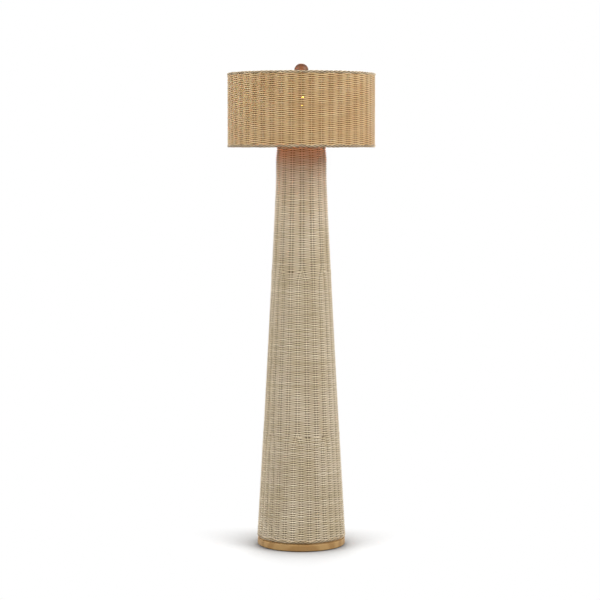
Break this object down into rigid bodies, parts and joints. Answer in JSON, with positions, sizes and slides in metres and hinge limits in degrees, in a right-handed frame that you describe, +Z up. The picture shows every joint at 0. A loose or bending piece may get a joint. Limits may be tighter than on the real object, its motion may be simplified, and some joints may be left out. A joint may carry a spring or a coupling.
{
  "type": "floor lamp",
  "caption": "Floor lamp with a tall tapering column of woven rattan on a round base, and a woven drum shade carried by a harp under a ball finial.",
  "frame": {"origin": "on the floor, under the middle of the base", "axes": "+Z up, -Y the side that the picture shows"},
  "size_m": [0.476, 0.476, 1.5559],
  "materials": {
    "greige_rattan": "matt",
    "honey_rattan": "matt",
    "honey_wood": "satin",
    "red_wood": "satin",
    "felt": "matt",
    "rubber": "matt",
    "iron": "rough",
    "zinc_steel": "satin",
    "black_steel": "satin",
    "brass": "satin",
    "black_plastic": "matt",
    "card": "matt",
    "bulb_white": "satin",
    "bulb_glass": "frosted"
  },
  "bodies": {
    "stand": {"felt_pad": "felt", "base_plate": "honey_wood", "cord_grommet": "rubber", "base_weight": "iron", "centre_pipe": "zinc_steel", "base_washer": "zinc_steel", "base_nut": "zinc_steel", "lock_washer": "brass", "lock_nut": "brass", "body_frame": "black_steel", "body_weave": "greige_rattan", "body_foot_border": "greige_rattan", "body_top_border": "greige_rattan", "body_top_cap": "brass", "harp_saddle": "brass", "harp": "brass", "socket_cap": "brass", "socket_shell": "brass", "socket_liner": "card", "socket_interior": "black_plastic", "socket_screw_shell": "brass", "socket_contact": "brass"},
    "shade": {"harp_stud": "brass", "shade_weave": "honey_rattan", "shade_top_border": "honey_rattan", "shade_bottom_border": "honey_rattan", "shade_spider": "brass", "shade_bottom_ring": "brass"},
    "finial": {"finial_insert": "brass", "finial_ball": "red_wood"},
    "switch": {"switch_shaft": "brass", "switch_knob": "black_plastic"},
    "bulb": {"bulb_tip": "zinc_steel", "bulb_insulator": "black_plastic", "bulb_base": "zinc_steel", "bulb_mount": "bulb_white", "bulb_glass": "bulb_glass"},
    "sleeve_left": {"harp_sleeve_left": "brass"},
    "sleeve_right": {"harp_sleeve_right": "brass"}
  },
  "joints": [
    {"name": "shade_swivel", "type": "hinge", "parent": "stand", "child": "shade", "pos_m": [0, 0, 1.4983], "axis": [0, 0, 1], "continuous": true},
    {"name": "finial_unscrew", "type": "hinge", "parent": "shade", "child": "finial", "pos_m": [0, 0, 1.507], "axis": [0, 0, 1], "range_deg": [0, 5400]},
    {"name": "switch_turn", "type": "hinge", "parent": "stand", "child": "switch", "pos_m": [0, -0.0234, 1.3236], "axis": [0, -1, 0], "continuous": true},
    {"name": "bulb_unscrew", "type": "hinge", "parent": "stand", "child": "bulb", "pos_m": [0, 0, 1.3532], "axis": [0, 0, 1], "range_deg": [0, 1620]},
    {"name": "sleeve_left_lift", "type": "slide", "parent": "stand", "child": "sleeve_left", "axis": [0, 0, 1], "range_m": [0, 0.012]},
    {"name": "sleeve_right_lift", "type": "slide", "parent": "stand", "child": "sleeve_right", "axis": [0, 0, 1], "range_m": [0, 0.012]}
  ]
}
